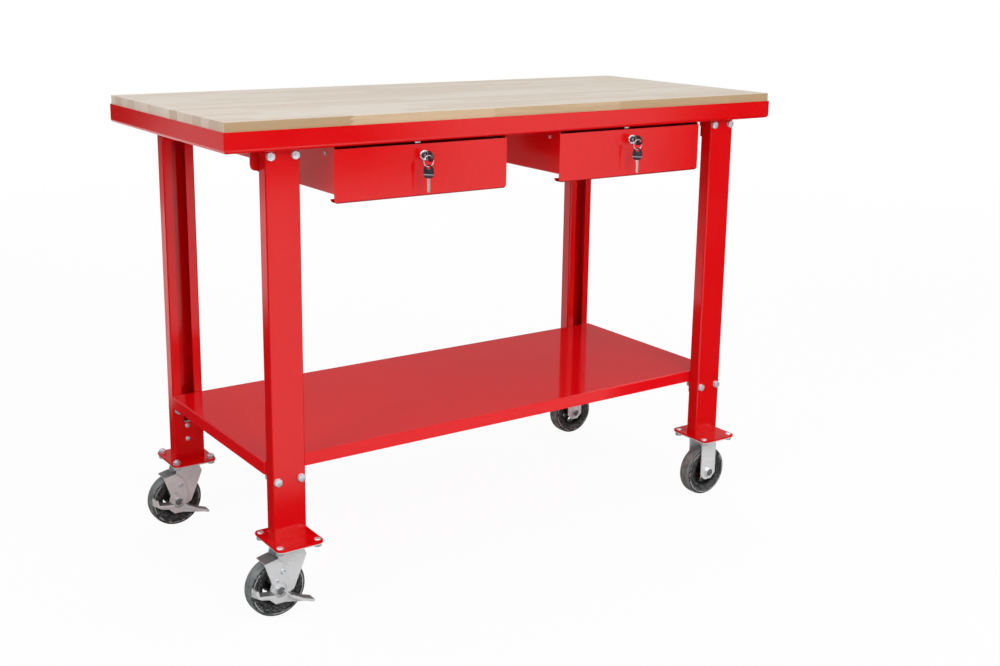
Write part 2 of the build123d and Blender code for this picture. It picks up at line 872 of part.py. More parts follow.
# ---- drawers -----------------------------------------------------------------------------
def drawer_case(x):
    """The housing of one drawer: two walls and a top, hung under the worktop."""
    half = case_width / 2
    corners = [
        (case_hem - half, case_bottom),
        (-half, case_bottom),
        (-half, worktop_bottom),
        (half, worktop_bottom),
        (half, case_bottom),
        (half - case_hem, case_bottom),
    ]
    screws = [(y, case_screw_z) for y in case_screw_y]
    top_screws = [spot for spot in case_top_screws if spot[0] * x > 0]
    with BuildPart() as case:
        extrude(
            folded_sheet(front_plane(x, -case_front), corners, case_bend, case_sheet, Side.RIGHT),
            amount=-(case_front + case_rear),
        )
        with BuildSketch(front_plane(x, -(rim_lip - case_gap))):
            with Locations((0, rim_bottom - case_gap)):
                Rectangle(
                    case_width + 2 * case_gap,
                    worktop_thick,
                    align=(Align.CENTER, Align.MIN),
                )
        extrude(amount=rim_flange, mode=Mode.SUBTRACT)
        extrude(
            discs(Plane.YZ.offset(x), case_screw_radius + bolt_gap, screws),
            amount=case_width,
            both=True,
            mode=Mode.SUBTRACT,
        )
        extrude(
            discs(Plane.XY.offset(worktop_bottom), wood_screw_radius + bolt_gap, top_screws),
            amount=-case_sheet,
            mode=Mode.SUBTRACT,
        )
    return case.part


def slide_pair(x, sections, holes=False):
    """One member of the slides at both sides of a drawer, from its section's corners."""
    wall = x - case_inner
    corners = [(wall + out, slide_z + up) for out, up in sections]
    screws = [(y, case_screw_z) for y in case_screw_y]
    with BuildPart() as pair:
        extrude(
            folded_sheet(front_plane(0, -slide_front), corners, slide_bend, slide_sheet),
            amount=-slide_length,
        )
        if holes:
            extrude(
                discs(Plane.YZ.offset(wall), case_screw_radius + bolt_gap, screws),
                amount=2 * slide_sheet,
                both=True,
                mode=Mode.SUBTRACT,
            )
        mirror(about=Plane.YZ.offset(x))
    return pair.part


half_outer = slide_height / 2
half_middle = half_outer - slide_sheet - slide_gap
half_inner = half_middle - slide_sheet - slide_gap
middle_web = slide_sheet + slide_gap
inner_tip = 2 * (slide_sheet + slide_gap)
outer_section = [
    (slide_flange, half_outer),
    (0, half_outer),
    (0, -half_outer),
    (slide_flange, -half_outer),
]
middle_section = [
    (slide_middle_flange, half_middle),
    (middle_web, half_middle),
    (middle_web, -half_middle),
    (slide_middle_flange, -half_middle),
]
inner_section = [
    (inner_tip, -half_inner),
    (slide_thick, -half_inner),
    (slide_thick, half_inner),
    (inner_tip, half_inner),
]


def drawer_front(x):
    """A flat front with rounded lower corners and a finger pull bent back along its foot."""
    pull_back = -drawer_face + drawer_pull
    corners = [
        (-drawer_face, drawer_top),
        (-drawer_face, drawer_bottom),
        (pull_back, drawer_bottom),
        (pull_back, drawer_bottom + drawer_pull_hem),
    ]
    with BuildPart() as front:
        extrude(
            folded_sheet(Plane.YZ.offset(x), corners, drawer_bend, drawer_sheet),
            amount=drawer_width / 2,
            both=True,
        )
        with BuildSketch(front_plane(x, 0)) as mask:
            with Locations((0, drawer_bottom)):
                Rectangle(drawer_width, drawer_height, align=(Align.CENTER, Align.MIN))
            fillet(mask.vertices().group_by(Axis.Y)[0], drawer_corner)
        extrude(amount=drawer_face + drawer_sheet, mode=Mode.INTERSECT)
        extrude(
            discs(front_plane(x, -drawer_face, lock_z), lock_body_radius + bolt_gap),
            amount=-2 * drawer_sheet,
            mode=Mode.SUBTRACT,
        )
    return front.part


def drawer_tray(x):
    """The open box behind a drawer front: a floor, with two sides, a back and a front wall on it."""
    depth = drawer_back + tray_rear
    middle_y = (tray_rear - drawer_back) / 2
    on_floor = tray_bottom + tray_sheet
    rise = tray_top - on_floor
    standing = (Align.CENTER, Align.CENTER, Align.MIN)
    with BuildPart() as floor:
        with Locations((x, middle_y, tray_bottom)):
            Box(2 * tray_half, depth, tray_sheet, align=standing)
    with BuildPart() as sides:
        with Locations(*[(x + turn * (tray_half - tray_sheet / 2), middle_y, on_floor) for turn in (-1, 1)]):
            Box(tray_sheet, depth, rise, align=standing)
    with BuildPart() as ends:
        with Locations(*[(x, middle_y + turn * (depth - tray_sheet) / 2, on_floor) for turn in (-1, 1)]):
            Box(2 * (tray_half - tray_sheet), tray_sheet, rise, align=standing)
        extrude(
            discs(front_plane(x, -drawer_back, lock_z), lock_body_radius + bolt_gap),
            amount=-2 * tray_sheet,
            mode=Mode.SUBTRACT,
        )
    return Compound([*floor.part.solids(), *sides.part.solids(), *ends.part.solids()])


def lock_barrel(x):
    """The body of a cam lock, with its bezel in front and its nut behind the tray's wall."""
    face = front_plane(x, -drawer_face, lock_z)
    seat = front_plane(x, -drawer_back + tray_sheet, lock_z)
    with BuildPart() as barrel:
        extrude(discs(face, lock_bezel_radius), amount=lock_bezel)
        extrude(discs(face, lock_body_radius), amount=-lock_length)
        extrude(
            discs(face, lock_plug_radius + fit_gap),
            amount=lock_length,
            both=True,
            mode=Mode.SUBTRACT,
        )
        with BuildSketch(seat):
            RegularPolygon(lock_nut_flats / 2, 6, major_radius=False)
            Circle(lock_body_radius + thread_gap, mode=Mode.SUBTRACT)
        extrude(amount=-lock_nut)
    return barrel.part


def lock_plug(x):
    """The turning plug of a lock: slotted for the key, and riveted over its cam."""
    front = drawer_face + lock_bezel + lock_plug_proud
    slot_end = key_head_start - key_blade_length
    with BuildPart() as plug:
        extrude(
            discs(front_plane(x, -front, lock_z), lock_plug_radius), amount=-(front - plug_back)
        )
        extrude(
            discs(front_plane(x, -plug_back, lock_z), cam_bore),
            amount=-(cam_thick + cam_rivet),
        )
        extrude(
            discs(front_plane(x, -(plug_back - cam_thick), lock_z), cam_rivet_radius),
            amount=-cam_rivet,
        )
        with BuildSketch(front_plane(x, -front, lock_z)):
            Rectangle(key_blade_thick + 2 * key_slot_gap, key_blade_width + 2 * key_slot_gap)
        extrude(amount=-(front - slot_end + key_slot_gap), mode=Mode.SUBTRACT)
    return plug.part


def lock_cam(x):
    """The cam behind a lock, which points left while the drawer is free."""
    with BuildPart() as cam:
        with BuildSketch(front_plane(x, -plug_back, lock_z)):
            Circle(cam_hub_radius)
            with Locations((-(cam_reach - cam_tip_radius), 0)):
                Circle(cam_tip_radius)
            make_hull()
            Circle(cam_bore + fit_gap, mode=Mode.SUBTRACT)
        extrude(amount=-cam_thick)
    return cam.part


def key(plane):
    """A key along a plane's -X from the end of its head, with its ring hole at the origin."""
    shoulder = key_hole_edge - key_bow_radius - key_bow
    with BuildPart() as made:
        with BuildSketch(plane):
            with Locations((key_hole_edge - key_bow_radius, 0)):
                Circle(key_bow_radius)
            with Locations((shoulder, key_shoulder), (shoulder, -key_shoulder)):
                Circle(key_shoulder_radius)
            make_hull()
            Circle(key_hole_radius, mode=Mode.SUBTRACT)
        extrude(amount=key_head_thick / 2, both=True)
        with BuildSketch(plane):
            with Locations((shoulder - key_shoulder_radius + key_root, 0)):
                Rectangle(
                    key_blade_length + key_root, key_blade_width, align=(Align.MAX, Align.CENTER)
                )
        extrude(amount=key_blade_thick / 2, both=True)
    return made.part


for along, x in (("left", -drawer_centre), ("right", drawer_centre)):
    save(drawer_case(x), f"drawer_case_{along}")
    save(slide_pair(x, middle_section), f"slide_middle_{along}")
    save(slide_pair(x, inner_section), f"slide_inner_{along}")
    save(drawer_front(x), f"drawer_front_{along}")
    save(drawer_tray(x), f"drawer_tray_{along}")
    save(lock_barrel(x), f"lock_barrel_{along}")
    save(lock_plug(x), f"lock_plug_{along}")
    save(lock_cam(x), f"lock_cam_{along}")

    in_lock = Plane(origin=(x, -key_hole_y, lock_z), x_dir=(0, -1, 0), z_dir=(1, 0, 0))
    save(key(in_lock), f"key_{along}")

    ring_x = x - ring_centre_offset
    ring_z = lock_z - ring_centre_offset
    with BuildPart() as key_ring:
        with Locations((ring_x, -key_hole_y, ring_z)):
            Torus(ring_radius, ring_wire, rotation=(90, 0, 0))
    save(key_ring.part, f"key_ring_{along}")

    hang = (ring_x, -key_hole_y, ring_z - ring_radius - ring_hang)
    hanging = Plane(origin=hang, x_dir=(0, 0, 1), z_dir=(-1, -1, 0))
    save(key(hanging), f"spare_key_{along}")

with BuildPart() as slides_outer:
    add(slide_pair(-drawer_centre, outer_section, holes=True))
    add(slide_pair(drawer_centre, outer_section, holes=True))
save(slides_outer.part, "slides_outer")

with BuildPart() as case_screws:
    for side in (-1, 1):
        screws = [(y, case_screw_z) for y in case_screw_y]
        wall = Plane.YZ.offset(drawer_centre + side * case_width / 2)
        extrude(discs(wall, case_screw_head_radius, screws), amount=side * case_screw_head)
        extrude(
            discs(wall, case_screw_radius, screws), amount=-side * (case_sheet + slide_sheet)
        )
    mirror(about=Plane.YZ)
save(case_screws.part, "case_screws")
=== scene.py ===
import math
import bmesh
import bpy
import numpy as np
from mathutils import Matrix, Vector


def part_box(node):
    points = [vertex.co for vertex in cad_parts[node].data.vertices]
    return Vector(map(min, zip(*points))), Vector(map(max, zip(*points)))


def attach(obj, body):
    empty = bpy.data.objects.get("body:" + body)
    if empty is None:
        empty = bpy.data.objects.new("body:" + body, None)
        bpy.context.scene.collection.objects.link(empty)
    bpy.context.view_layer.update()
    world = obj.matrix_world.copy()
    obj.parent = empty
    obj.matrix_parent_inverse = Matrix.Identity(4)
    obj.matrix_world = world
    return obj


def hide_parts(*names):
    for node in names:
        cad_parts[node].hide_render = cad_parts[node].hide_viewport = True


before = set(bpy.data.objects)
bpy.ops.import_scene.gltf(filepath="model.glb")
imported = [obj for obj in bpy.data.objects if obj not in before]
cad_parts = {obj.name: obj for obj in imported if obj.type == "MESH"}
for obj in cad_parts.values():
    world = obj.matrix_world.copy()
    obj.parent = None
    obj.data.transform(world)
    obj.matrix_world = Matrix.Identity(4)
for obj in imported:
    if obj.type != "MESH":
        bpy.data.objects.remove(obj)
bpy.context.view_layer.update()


# ---- Camera --------------------------------------------------------------------------------------
# A short telephoto stands at the bench's front left, a little above the worktop, and looks down
# past the near leg. The lens is shifted so that the legs stay nearly upright in the frame.
camera_place = Vector((-1.7616, -2.6904, 1.3610))
camera_heading = -35.24
camera_tilt = -12.73
camera_roll = 0.90
focal_length = 47.01
frame_width = 36.0
lens_rise = -0.063

camera_data = bpy.data.cameras.new("camera")
camera_data.sensor_width = frame_width
camera_data.lens = focal_length
camera_data.shift_y = lens_rise
camera = bpy.data.objects.new("camera", camera_data)
turn = (Matrix.Rotation(math.radians(camera_heading), 4, "Z")
        @ Matrix.Rotation(math.radians(90 + camera_tilt), 4, "X")
        @ Matrix.Rotation(math.radians(camera_roll), 4, "Z"))
camera.matrix_world = Matrix.Translation(camera_place) @ turn
bpy.context.scene.collection.objects.link(camera)
bpy.context.scene.camera = camera
bpy.context.scene.view_settings.view_transform = "Standard"


# ---- Floor and light -----------------------------------------------------------------------------
# The bench stands on a wide sheet of white paper under soft boxes, in a pale surround that darkens
# to the left. The paper keeps the bench's soft shadow. In a mirror the paper shows a painted glow in
# place of lamplight on it: dim right by the bench as painted shade, bright a little farther out, and
# farther out still in a wedge to either side, before and behind.
class Field:
    """A number or colour that a node gives; +, -, *, / and ** on it add Math nodes."""

    def __init__(self, finish, socket):
        self.finish = finish
        self.socket = socket

    def math(self, operation, first, second=0.0):
        return self.finish.node("Math", {"operation": operation}, {0: first, 1: second})

    def __add__(self, other):
        return self.math("ADD", self, other)

    def __sub__(self, other):
        return self.math("SUBTRACT", self, other)

    def __rsub__(self, other):
        return self.math("SUBTRACT", other, self)

    def __mul__(self, other):
        return self.math("MULTIPLY", self, other)

    def __truediv__(self, other):
        return self.math("DIVIDE", self, other)

    def __pow__(self, other):
        return self.math("POWER", self, other)

    def __abs__(self):
        return self.math("ABSOLUTE", self)

    def whole(self):
        return self.math("FLOOR", self)

    def rest(self):
        return self.math("FRACT", self)

    __radd__ = __add__
    __rmul__ = __mul__


class Finish:
    """One material, or the surround; node() adds any node to it."""

    def __init__(self, name, constants=(), holder=None):
        self.material = holder or bpy.data.materials.new(name)
        self.material.use_nodes = True
        self.tree = self.material.node_tree
        self.shader = self.tree.nodes.get("Principled BSDF") or self.tree.nodes["Background"]
        for socket, value in dict(constants).items():
            self.shader.inputs[socket].default_value = value
        self.place = self.node("TexCoord", output="Object")
        split = self.tree.nodes.new("ShaderNodeSeparateXYZ")
        self.join(self.place, split.inputs[0])
        self.x, self.y, self.z = (Field(self, axis) for axis in split.outputs)

    def join(self, value, socket):
        """A field is linked to the socket, and anything else becomes its value."""
        if isinstance(value, Field):
            self.tree.links.new(value.socket, socket)
        else:
            socket.default_value = value

    def node(self, kind, settings=(), sockets=(), output=0):
        """Adds a node of that kind: its settings first, then its sockets' values or links."""
        made = self.tree.nodes.new("ShaderNode" + kind)
        for name, value in dict(settings).items():
            setattr(made, name, value)
        for key, value in dict(sockets).items():
            self.join(value, made.inputs[key])
        return Field(self, made.outputs[output])

    def feed(self, **fields):
        """Links fields to the shader: base_color to Base Color, and so on."""
        for name, value in fields.items():
            self.join(value, self.shader.inputs[name.replace("_", " ").title()])

    def point(self, x, y, z):
        """Three fields as one place."""
        return self.node("CombineXYZ", {}, {0: x, 1: y, 2: z})

    def noise(self, scale, detail=2.0, stretch=(1, 1, 1)):
        """Cloudy noise from 0 to 1 with that many cells to a metre, drawn out along an axis."""
        moved = self.node("Mapping", {}, {"Vector": self.place, "Scale": stretch})
        return self.node("TexNoise", {}, {"Vector": moved, "Scale": scale, "Detail": detail})

    def chance(self, x, y, z=0.0):
        """A number from 0 to 1 that is the same wherever the three fields are."""
        return self.node("TexWhiteNoise", {"noise_dimensions": "3D"},
                         {"Vector": self.point(x, y, z)})

    def ramp(self, field, start, end, low=0.0, high=1.0):
        """low below start, high above end, and a smooth rise between them."""
        return self.node("MapRange", {"interpolation_type": "SMOOTHSTEP"},
                         {"Value": field, "From Min": start, "From Max": end,
                          "To Min": low, "To Max": high})

    def mix(self, share, first, second):
        """The first colour where share is 0 and the second where it is 1."""
        return self.node("Mix", {"data_type": "RGBA"}, {0: share, 6: first, 7: second}, output=2)

    def bump(self, height, depth):
        """A normal that follows height, whose 1 stands depth metres above its 0."""
        return self.node("Bump", {}, {"Height": height, "Distance": depth, "Strength": 1.0})

    def part(self, vector, axis):
        """One number of a vector field: 0 gives its X, 1 its Y and 2 its Z."""
        return self.node("SeparateXYZ", {}, {0: vector}, axis)

    def facing(self, axis):
        """How far the surface faces along one axis, from -1 to 1."""
        return self.part(self.node("TexCoord", output="Normal"), axis)


def shade(red, green, blue):
    """A colour written as it looks on a screen, from 0 to 255, as the shader's linear numbers."""
    return tuple(((c / 255 + 0.055) / 1.055) ** 2.4 if c > 10 else c / 3294.6
                 for c in (red, green, blue)) + (1.0,)


floor_reach = 60.0
paper_white = shade(250, 250, 250)
paper_glow = 0.95
glow_start, glow_full = 2.5, 7.0
# Strength of the painted glow the paper shows in mirrors, bright and dim.
pool_bright, pool_dim = 1.0, 0.02
pool_near, pool_far = (0.8, 1.05), (5.4, 6.1)
wedge_inner, wedge_outer = (0.48, 0.62), (0.88, 0.99)
rear_far, rear_side, rear_bright = (4.2, 5.0), (0.78, 0.86), 0.5
rear_inner, rear_outer = (0.43, 0.475), (0.64, 0.72)
middle_band = (-0.1, 0.1)
surround_level, surround_left, surround_fall = 0.53, 0.4, (-0.95, -0.1)
mirror_low, mirror_high, mirror_rise = 0.28, 2.0, (0.3, 0.85)

floor_mesh = bpy.data.meshes.new("floor")
floor_mesh.from_pydata([(-floor_reach, -floor_reach, 0), (floor_reach, -floor_reach, 0),
                        (floor_reach, floor_reach, 0), (-floor_reach, floor_reach, 0)],
                       [], [(0, 1, 2, 3)])
floor = bpy.data.objects.new("floor", floor_mesh)
bpy.context.scene.collection.objects.link(floor)
paper = Finish("floor_paper", {"Base Color": paper_white, "Roughness": 0.9,
                               "Specular IOR Level": 0.1})
seen = paper.node("LightPath", output="Is Camera Ray")
mirrored = paper.node("LightPath", output="Is Glossy Ray")
distance = (paper.x ** 2 + paper.y ** 2) ** 0.5
out = abs(paper.y)
aside = abs(paper.x) / out
pool = paper.ramp(out, *pool_far, 1.0, 0.0)
wedge = paper.ramp(aside, *wedge_inner)
before = (pool + wedge - pool * wedge) * paper.ramp(aside, *wedge_outer, 1.0, 0.0)
pool = paper.ramp(out, *rear_far, 1.0, 0.0) * paper.ramp(aside, *rear_side, 1.0, 0.0)
wedge = paper.ramp(aside, *rear_inner) * paper.ramp(aside, *rear_outer, 1.0, 0.0) * rear_bright
behind = pool + wedge - pool * wedge
# Painted reflection: the glow the paper shows in mirrors, with painted shade close to the bench.
mirror_glow_pattern = (before + (behind - before) * paper.ramp(paper.y, *middle_band)) * paper.ramp(out, *pool_near)
painted_mirror_glow = pool_dim + (pool_bright - pool_dim) * mirror_glow_pattern
glow = paper.node("Emission", {}, {"Color": (1, 1, 1, 1), "Strength": seen + mirrored * painted_mirror_glow})
share = seen * paper.ramp(distance, glow_start, glow_full, paper_glow, 1.0) + mirrored
blend = paper.node("MixShader", {}, {0: share, 1: Field(paper, paper.shader.outputs[0]), 2: glow})
paper.tree.links.new(blend.socket, paper.tree.nodes["Material Output"].inputs["Surface"])
floor_mesh.materials.append(paper.material)

surround = Finish("surround", {"Color": (1, 1, 1, 1)}, bpy.data.worlds.new("surround"))
bpy.context.scene.world = surround.material
seen = surround.node("LightPath", output="Is Camera Ray")
mirrored = surround.node("LightPath", output="Is Glossy Ray")
toward = surround.node("TexCoord", output="Generated")
level = surround.ramp(surround.part(toward, 0), *surround_fall, surround_left, 1.0)
gleam = surround.ramp(surround.part(toward, 2), *mirror_rise, mirror_low, mirror_high)
surround.feed(strength=seen + mirrored * gleam + (1 - seen - mirrored) * level * surround_level)

bench_middle = Vector((0, 0, 0.6))
soft_boxes = {"key_light": ((0.2, -4.0, 3.0), 2.4, 72.0, True),
              "fill_light": ((3.4, -2.0, 2.2), 2.0, 18.0, True),
              "side_light": ((-3.0, -0.9, 2.6), 1.4, 31.0, True),
              "back_light": ((2.2, 3.8, 2.8), 3.0, 44.0, False)}
for name, (place, side, power, shows) in soft_boxes.items():
    lamp = bpy.data.lights.new(name, "AREA")
    lamp.size = side
    lamp.energy = power
    box = bpy.data.objects.new(name, lamp)
    aim = (bench_middle - Vector(place)).to_track_quat("-Z", "Y").to_matrix().to_4x4()
    box.matrix_world = Matrix.Translation(place) @ aim
    box.visible_glossy = shows
    bpy.context.scene.collection.objects.link(box)


# ---- Worktop -------------------------------------------------------------------------------------
# A slab of hardwood staves, finger-jointed end to end, glued side by side and oiled. Every length
# has its own tint and grain, and the ends show end grain. The top is painted paler and the sides
# darker, as painted light and sheen from above.
stave_width = 0.042
stave_length = 0.36
joint_finger = 0.005
joint_depth = 0.011
lit_top_pale, lit_top_deep = shade(236, 226, 214), shade(226, 213, 197)
shaded_side_pale, shaded_side_deep = shade(212, 184, 150), shade(184, 154, 118)
end_pale, end_deep, end_rosy = shade(236, 222, 206), shade(216, 194, 174), shade(206, 168, 158)
glue_brown, pore_brown = shade(120, 92, 66), shade(150, 122, 94)
turn_over = (0.5, 0.9)
grain_depth = 0.0002


def dress(names, finish):
    """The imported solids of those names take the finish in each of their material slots."""
    for name in names.split():
        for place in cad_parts[name].material_slots:
            place.material = finish.material


def butcher_block():
    """Staves along X: the tint changes by row and by length, and the grain runs with them."""
    wood = Finish("butcher_block", {"IOR": 1.36})
    row = (wood.y / stave_width).whole()
    shift = wood.chance(row, 3.0)
    fingers = wood.node("Math", {"operation": "PINGPONG"}, {0: wood.y + wood.z, 1: joint_finger})
    along = (wood.x + fingers * (joint_depth / joint_finger)) / stave_length + shift * 9
    length = along.whole()
    tint = wood.chance(length, row)
    warmth = wood.chance(length, row, 5.0)
    fibre = wood.point(wood.x * 2.2 + tint * 7, wood.y * 60 + warmth * 9, wood.z * 60 + tint * 5)
    grain = wood.node("TexNoise", {}, {"Vector": fibre, "Scale": 2.4, "Detail": 5.0,
                                       "Distortion": 0.5})
    rings = wood.node("TexNoise", {}, {"Vector": fibre, "Scale": 0.5, "Detail": 2.0,
                                       "Distortion": 1.6})
    pores = wood.noise(900, 2, (0.06, 1, 1))
    # Painted light and sheen: faces looking up take paler colours than the sides.
    top = wood.ramp(wood.facing(2), *turn_over)
    end = wood.ramp(abs(wood.facing(0)), *turn_over)
    depth = wood.ramp(tint * 0.62 + grain * 0.5 + rings * 0.4, 0.42, 1.0)
    tone = wood.mix(depth, lit_top_pale, lit_top_deep)
    edge = wood.mix(depth, shaded_side_pale, shaded_side_deep)
    ends = wood.mix(wood.ramp(tint * 0.9 + rings * 0.5, 0.3, 1.1), end_pale, end_deep)
    rosy = wood.mix(warmth * 0.18, ends, end_rosy)
    face = wood.mix(end, wood.mix(top, edge, tone), rosy)
    seam_y = abs((wood.y / stave_width).rest() - 0.5)
    seam_x = abs(along.rest() - 0.5)
    seam = wood.ramp(seam_y, 0.485, 0.5) + wood.ramp(seam_x, 0.4975, 0.5) * (1 - end)
    line = wood.mix(wood.ramp(seam, 0.0, 1.0, 0.0, 0.35), face, glue_brown)
    wood.feed(base_color=wood.mix(wood.ramp(pores, 0.56, 0.75, 0.0, 0.25), line, pore_brown),
              roughness=wood.ramp(grain, 0.3, 0.7, 0.46, 0.58),
              normal=wood.bump(grain * 0.6 + pores * 0.4 - seam * 0.5, grain_depth))
    return wood


dress("worktop", butcher_block())


# ---- Rim -----------------------------------------------------------------------------------------
# Four folded rails of 2 mm sheet, mitred and welded round the slab. They are powder-coated in a
# glossy red with fine orange peel and faint flecks, as is the whole frame.
frame_colour, fleck_colour = shade(224, 4, 10), shade(255, 120, 110)
fleck_cells, cloud_cells, peel_cells = 620, 5, 380


def darker(colour, share):
    """A colour with its light cut down to a share."""
    return tuple(c * share for c in colour[:3]) + (1.0,)


def powder_coat(name, colour, roughness=0.1, peel_depth=0.00003, ior=1.5):
    """Glossy powder coat: a full colour, faint flecks, and orange peel about 2 mm across."""
    coat = Finish(name, {"IOR": ior})
    flecks = coat.noise(fleck_cells, 3)
    clouds = coat.noise(cloud_cells, 3)
    peel = coat.noise(peel_cells, 2)
    lift = coat.mix(coat.ramp(flecks, 0.55, 0.75, 0.0, 0.05), colour, fleck_colour)
    coat.tone = coat.mix(coat.ramp(flecks, 0.45, 0.25), lift, darker(colour, 0.72))
    coat.feed(base_color=coat.tone,
              roughness=coat.ramp(clouds, 0.3, 0.7, roughness, roughness + 0.05),
              normal=coat.bump(peel, peel_depth))
    return coat


frame_coat = powder_coat("red_frame", frame_colour)
dress("rim_front rim_rear rim_ends", frame_coat)


# ---- Legs, cross rails and foot plates -----------------------------------------------------------
# Each leg is a folded channel welded to a foot plate and closed by a strip at its foot. Brackets
# bolt it to the rails under the slab and carry the shelf. They share the rim's coat.
dress("leg_front_left leg_front_right leg_rear_left leg_rear_right", frame_coat)
dress("top_cross_rails top_brackets shelf_brackets foot_plates", frame_coat)


# ---- Leg bolts and nuts --------------------------------------------------------------------------
# M10 hex bolts with washers go through the legs into nuts behind the brackets, and pairs of
# round-headed bolts pull the clamp plates up. All are zinc-plated and shine bluish white.
plate_colour = shade(226, 229, 236)
bolt_pitch = 0.055
bolt_flats = 0.016
bolt_head = 0.0064
bolt_radius = 0.005
bolt_end = 0.003
below_rim, below_shelf = 0.013, 0.0095
washer_thick = 0.0014
washer_radius = 0.0089
nut_height = 0.008
bracket_sheet = 0.003
clamp_inset = 0.028
clamp_pitch = 0.034
clamp_bolt_radius, clamp_end = 0.004, 0.012
dome_radius, dome_rise = 0.006, 0.0035
weld_distance, sliver_distance = 1e-6, 1e-7


def skin(grid, ends_meet=False):
    """The quads of a grid of points: each row is a closed ring, and rows follow one another."""
    rows, columns = grid.shape[:2]
    index = np.arange(rows * columns).reshape(rows, columns)
    index = np.hstack([index, index[:, :1]])
    if ends_meet:
        index = np.vstack([index, index[:1]])
    quads = np.stack([index[:-1, :-1], index[:-1, 1:], index[1:, 1:], index[1:, :-1]], -1)
    return grid.reshape(-1, 3), quads.reshape(-1, 4)


def turned(profile, flats=None, turns=48, ends_meet=False):
    """Points (radius, height) turned round Z, each ring trimmed to a hexagon of those flats."""
    angle = np.linspace(0, 2 * np.pi, turns, endpoint=False)
    radius, height = np.array(profile, float).T
    limit = np.full(turns, np.inf)
    if flats:
        limit = flats / 2 / np.cos((angle + np.pi / 6) % (np.pi / 3) - np.pi / 6)
    reach = np.minimum(radius[:, None], limit)
    rise = np.repeat(height[:, None], turns, 1)
    grid = np.stack([reach * np.cos(angle), reach * np.sin(angle), rise], -1)
    return skin(grid, ends_meet)


def stand(shell, place, axis="z", sign=1):
    """Moves a shell to a place, with its Z turned along that axis of the bench."""
    points, quads = shell
    order = {"y": [0, 2, 1], "z": [0, 1, 2]}[axis]
    points = points[:, order].copy()
    points[:, "xyz".index(axis)] *= sign
    return points + np.array(place), quads


def make_piece(name, shells, finish, body, crease=32):
    """Joins closed shells of points and quads into one object that rides on a body."""
    first = np.cumsum([0] + [len(points) for points, quads in shells[:-1]])
    points = np.vstack([points for points, quads in shells])
    quads = np.vstack([quads + start for (_, quads), start in zip(shells, first)])
    mesh = bpy.data.meshes.new(name)
    mesh.from_pydata(points.tolist(), [], quads.tolist())
    work = bmesh.new()
    work.from_mesh(mesh)
    bmesh.ops.remove_doubles(work, verts=work.verts, dist=weld_distance)
    bmesh.ops.dissolve_degenerate(work, dist=sliver_distance, edges=work.edges)
    bmesh.ops.recalc_face_normals(work, faces=work.faces)
    work.to_mesh(mesh)
    work.free()
    mesh.shade_smooth()
    mesh.set_sharp_from_angle(angle=math.radians(crease))
    mesh.materials.append(finish.material)
    piece = bpy.data.objects.new(name, mesh)
    bpy.context.scene.collection.objects.link(piece)
    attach(piece, body)
    return piece


def zinc_plating(name, colour, roughness, metallic=0.45):
    """Bright plating: a soft metal sheen with faint blotches and fine scuffs."""
    plating = Finish(name, {"Metallic": metallic})
    blotches = plating.noise(160, 3)
    scuffs = plating.noise(2200, 2)
    plating.feed(base_color=plating.mix(plating.ramp(blotches, 0.35, 0.75), colour,
                                        darker(colour, 0.88)),
                 roughness=plating.ramp(blotches, 0.3, 0.7, roughness, roughness + 0.14),
                 normal=plating.bump(scuffs, 0.00001))
    return plating


def hexagon(flats, height, chamfer=0.3):
    """A hex head or nut with its corners turned off: the cone falls by chamfer times its run."""
    corner = flats / math.sqrt(3)
    top = flats * 0.44
    cone = [(r, height - (r - top) * chamfer) for r in np.linspace(top, corner, 7)]
    return turned([(0, height)] + cone + [(corner, 0), (0, 0)], flats)


def washer(outer, thick):
    """A thin disc with eased edges."""
    ease = thick * 0.3
    return turned([(0, thick), (outer - ease, thick), (outer, thick - ease), (outer, 0), (0, 0)])


def shank(radius, low, high):
    """A bolt's shank with a small point at its end."""
    return turned([(0, low), (radius * 0.8, low), (radius, low + radius * 0.2), (radius, high),
                   (0, high)])


bright = zinc_plating("bright_zinc", plate_colour, 0.2)
leg_low, leg_high = (Vector(corner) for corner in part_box("leg_front_left"))
leg_x = abs(leg_low.x + leg_high.x) / 2
leg_face, leg_back = abs(leg_low.y), abs(leg_high.y)
rim_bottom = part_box("rim_front")[0][2]
shelf_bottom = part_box("lower_shelf")[0][2]
bracket_back = leg_back - bracket_sheet
clamp_low, clamp_high = (Vector(corner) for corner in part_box("clamp_plates"))
clamp_x = abs(clamp_low.x) - clamp_inset
clamp_z = (clamp_low.z + clamp_high.z) / 2
dome = [(dome_radius * math.cos(a), dome_rise * math.sin(a)) for a in np.linspace(math.pi / 2, 0, 8)]

leg_bolts, leg_nuts = [], []
for x_side in (-1, 1):
    for y_side in (-1, 1):
        for across in (-bolt_pitch / 2, bolt_pitch / 2):
            for z in (rim_bottom - below_rim, shelf_bottom - below_shelf):
                x = x_side * leg_x + across
                place = (x, y_side * leg_face, z)
                leg_bolts += [
                    stand(hexagon(bolt_flats, bolt_head), place, "y", y_side),
                    stand(washer(washer_radius, washer_thick), place, "y", y_side),
                    stand(shank(bolt_radius, bracket_back - leg_face - nut_height - bolt_end, 0),
                          place, "y", y_side)]
                leg_nuts += [stand(hexagon(bolt_flats, nut_height),
                                   (x, y_side * bracket_back, z), "y", -y_side)]
        for up in (-clamp_pitch / 2, clamp_pitch / 2):
            place = (x_side * clamp_x, y_side * bracket_back, clamp_z + up)
            leg_bolts += [stand(turned(dome + [(0, 0)]), place, "y", -y_side),
                          stand(shank(clamp_bolt_radius, -clamp_end, 0), place, "y", -y_side)]
piece = make_piece("leg_bolts", leg_bolts, bright, "root")
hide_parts("frame_bolts")
piece = make_piece("leg_nuts", leg_nuts, bright, "root")
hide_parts("frame_nuts")


# ---- Clamp plates --------------------------------------------------------------------------------
# Square plates of galvanised steel inside the legs' channels, tapped for the pairs of small bolts.
spangle_cells = 210.0
spangle_depth = 0.00002


